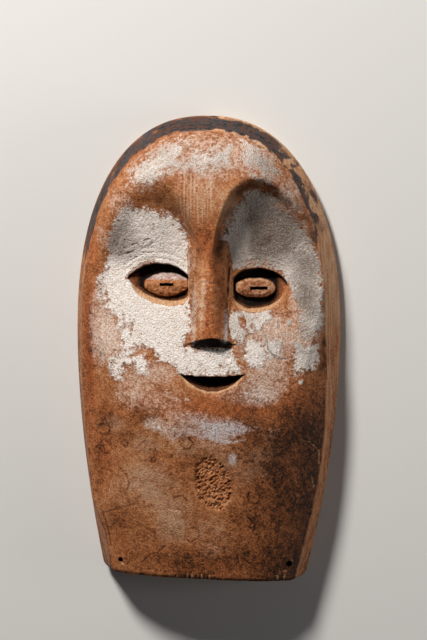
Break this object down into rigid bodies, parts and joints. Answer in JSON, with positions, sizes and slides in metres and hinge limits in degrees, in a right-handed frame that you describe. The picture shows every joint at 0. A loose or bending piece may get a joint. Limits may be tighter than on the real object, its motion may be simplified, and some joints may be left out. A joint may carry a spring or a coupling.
{
  "type": "lega mask",
  "caption": "Carved wooden Lega face mask with a sunk heart-shaped face, wedge nose, slit eyes in almond hollows and a pierced mouth, lying on its back rim.",
  "frame": {"origin": "middle of the box in the plane of the back rim, which lies on the surface below it", "axes": "+X to the right of the face as seen, +Y to the crown, +Z out of the face"},
  "size_m": [0.1406, 0.2461, 0.047],
  "materials": {
    "wood": "aged carved wood with white clay on the face and a dark band over the crown"
  },
  "bodies": {
    "root": {"mask": "wood"}
  },
  "joints": []
}
